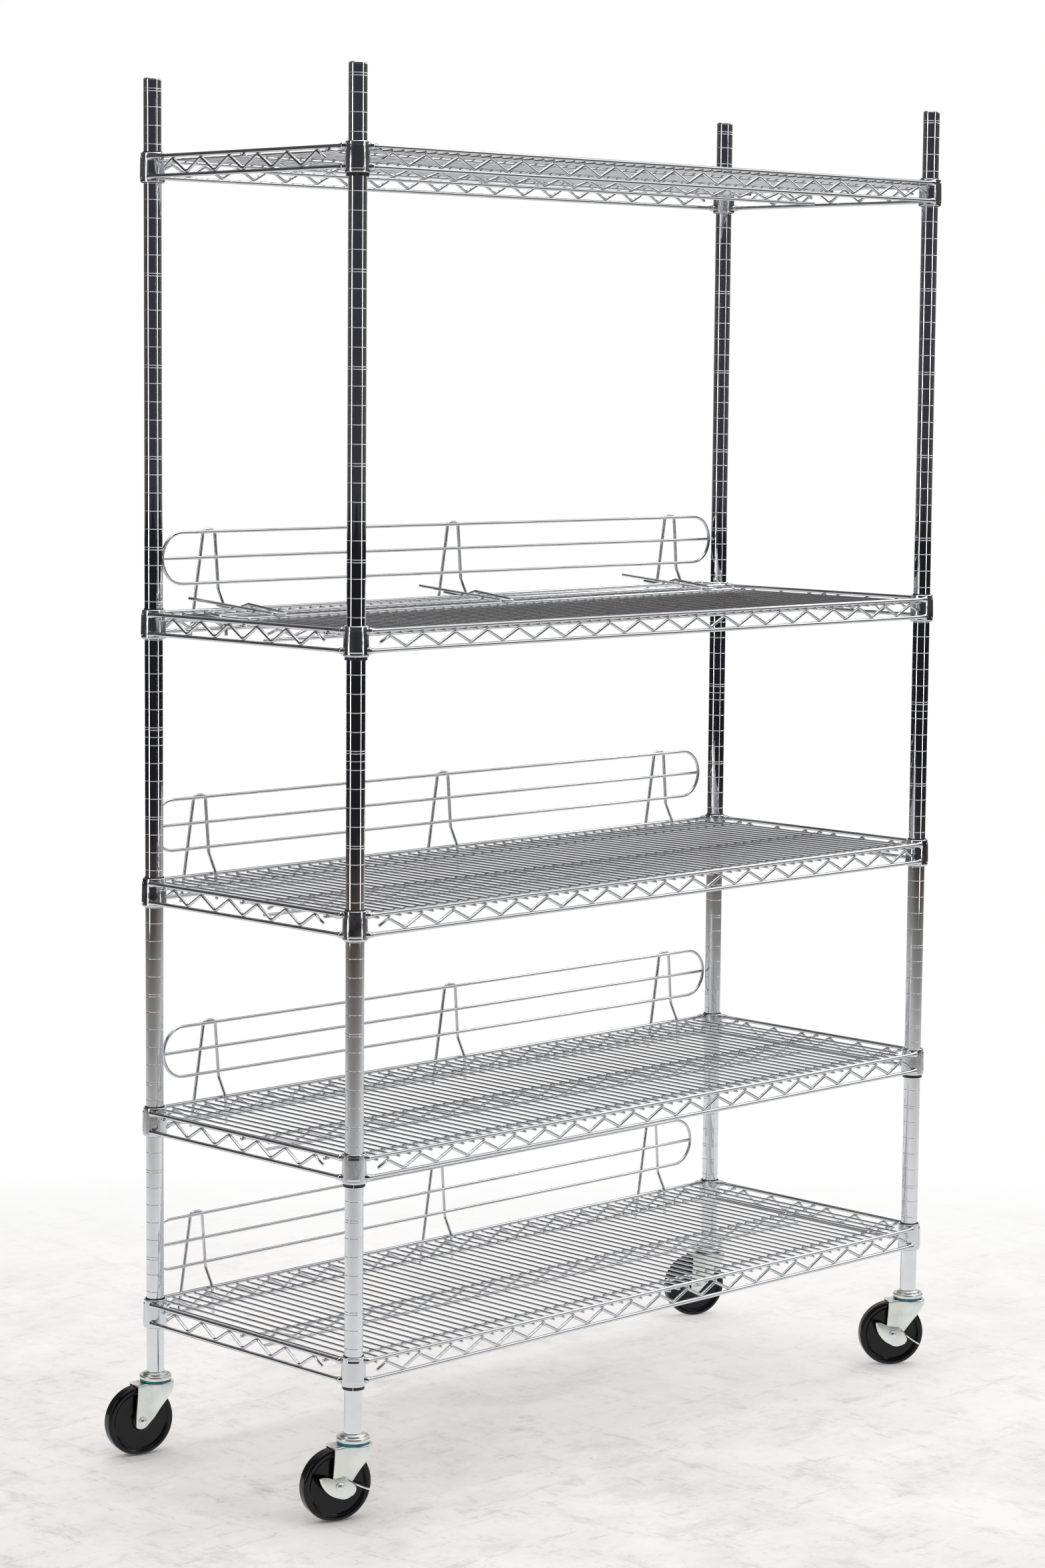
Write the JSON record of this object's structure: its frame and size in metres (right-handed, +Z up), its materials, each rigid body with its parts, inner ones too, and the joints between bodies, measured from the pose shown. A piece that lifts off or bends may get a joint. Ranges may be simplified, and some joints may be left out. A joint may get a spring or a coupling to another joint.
{
  "type": "wire shelf cart",
  "caption": "Tall wire shelf cart: grooved posts, height-adjustable welded wire shelves, back ledges and swivel casters, some with a foot brake.",
  "frame": {"origin": "centre of the footprint box, on the floor", "axes": "+Z up, +X along the shelves, -Y is the open front and +Y the side with the ledges"},
  "size_m": [1.2776, 0.5312, 1.9539],
  "materials": {
    "post_chrome": "bright chrome plate",
    "wire_chrome": "bright chrome plate over welded steel wire",
    "black_plastic": "moulded black plastic",
    "zinc_steel": "zinc plate, satin, faintly yellow-green",
    "bolt_steel": "bright zinc-plated steel",
    "blue_seal": "translucent teal-blue elastomer, glossy",
    "wheel_rubber": "moulded black wheel with a lightly scuffed tread"
  },
  "bodies": {
    "cart": {"upper_post_front_left": "post_chrome", "lower_post_front_left": "post_chrome", "upper_post_front_right": "post_chrome", "lower_post_front_right": "post_chrome", "upper_post_back_left": "post_chrome", "lower_post_back_left": "post_chrome", "upper_post_back_right": "post_chrome", "lower_post_back_right": "post_chrome", "post_caps": "post_chrome", "post_joint_studs": "bolt_steel", "post_thread_sockets": "bolt_steel", "shelf_1_rim": "wire_chrome", "shelf_1_collars": "wire_chrome", "shelf_1_lacing": "wire_chrome", "shelf_1_deck": "wire_chrome", "shelf_1_sleeves": "black_plastic", "shelf_2_rim": "wire_chrome", "shelf_2_collars": "wire_chrome", "shelf_2_lacing": "wire_chrome", "shelf_2_deck": "wire_chrome", "shelf_2_sleeves": "black_plastic", "shelf_3_rim": "wire_chrome", "shelf_3_collars": "wire_chrome", "shelf_3_lacing": "wire_chrome", "shelf_3_deck": "wire_chrome", "shelf_3_sleeves": "black_plastic", "shelf_4_rim": "wire_chrome", "shelf_4_collars": "wire_chrome", "shelf_4_lacing": "wire_chrome", "shelf_4_deck": "wire_chrome", "shelf_4_sleeves": "black_plastic", "shelf_5_rim": "wire_chrome", "shelf_5_collars": "wire_chrome", "shelf_5_lacing": "wire_chrome", "shelf_5_deck": "wire_chrome", "shelf_5_sleeves": "black_plastic", "ledge_2": "wire_chrome", "ledge_3": "wire_chrome", "ledge_4": "wire_chrome", "ledge_5": "wire_chrome", "ledge_spare": "wire_chrome", "caster_stems": "bolt_steel", "caster_race_caps": "zinc_steel", "caster_seals": "blue_seal", "caster_balls": "bolt_steel"},
    "swivel_front_left": {"fork_front_left": "zinc_steel", "axle_front_left": "bolt_steel"},
    "wheel_front_left": {"wheel_front_left": "wheel_rubber"},
    "brake_front_left": {"brake_front_left": "zinc_steel"},
    "swivel_front_right": {"fork_front_right": "zinc_steel", "axle_front_right": "bolt_steel"},
    "wheel_front_right": {"wheel_front_right": "wheel_rubber"},
    "brake_front_right": {"brake_front_right": "zinc_steel"},
    "swivel_back_left": {"fork_back_left": "zinc_steel", "axle_back_left": "bolt_steel"},
    "wheel_back_left": {"wheel_back_left": "wheel_rubber"},
    "swivel_back_right": {"fork_back_right": "zinc_steel", "axle_back_right": "bolt_steel"},
    "wheel_back_right": {"wheel_back_right": "wheel_rubber"}
  },
  "joints": [
    {"name": "swivel_front_left", "type": "hinge", "parent": "cart", "child": "swivel_front_left", "pos_m": [-0.56167, -0.23545, 0.105], "axis": [0, 0, 1], "continuous": true},
    {"name": "roll_front_left", "type": "hinge", "parent": "swivel_front_left", "child": "wheel_front_left", "pos_m": [-0.58762, -0.22801, 0.0508], "axis": [-0.2756, -0.9613, 0], "continuous": true},
    {"name": "brake_front_left", "type": "hinge", "parent": "swivel_front_left", "child": "brake_front_left", "pos_m": [-0.58762, -0.22801, 0.0508], "axis": [0.2756, 0.9613, 0], "range_deg": [0, 20]},
    {"name": "swivel_front_right", "type": "hinge", "parent": "cart", "child": "swivel_front_right", "pos_m": [0.61233, -0.23545, 0.105], "axis": [0, 0, 1], "continuous": true},
    {"name": "roll_front_right", "type": "hinge", "parent": "swivel_front_right", "child": "wheel_front_right", "pos_m": [0.59021, -0.21996, 0.0508], "axis": [-0.5736, -0.8192, 0], "continuous": true},
    {"name": "brake_front_right", "type": "hinge", "parent": "swivel_front_right", "child": "brake_front_right", "pos_m": [0.59021, -0.21996, 0.0508], "axis": [0.5736, 0.8192, 0], "range_deg": [-10, 10]},
    {"name": "swivel_back_left", "type": "hinge", "parent": "cart", "child": "swivel_back_left", "pos_m": [-0.56167, 0.19155, 0.105], "axis": [0, 0, 1], "continuous": true},
    {"name": "roll_back_left", "type": "hinge", "parent": "swivel_back_left", "child": "wheel_back_left", "pos_m": [-0.58798, 0.19762, 0.0508], "axis": [-0.225, -0.9744, 0], "continuous": true},
    {"name": "swivel_back_right", "type": "hinge", "parent": "cart", "child": "swivel_back_right", "pos_m": [0.61233, 0.19155, 0.105], "axis": [0, 0, 1], "continuous": true},
    {"name": "roll_back_right", "type": "hinge", "parent": "swivel_back_right", "child": "wheel_back_right", "pos_m": [0.58748, 0.2021, 0.0508], "axis": [-0.3907, -0.9205, 0], "continuous": true}
  ]
}
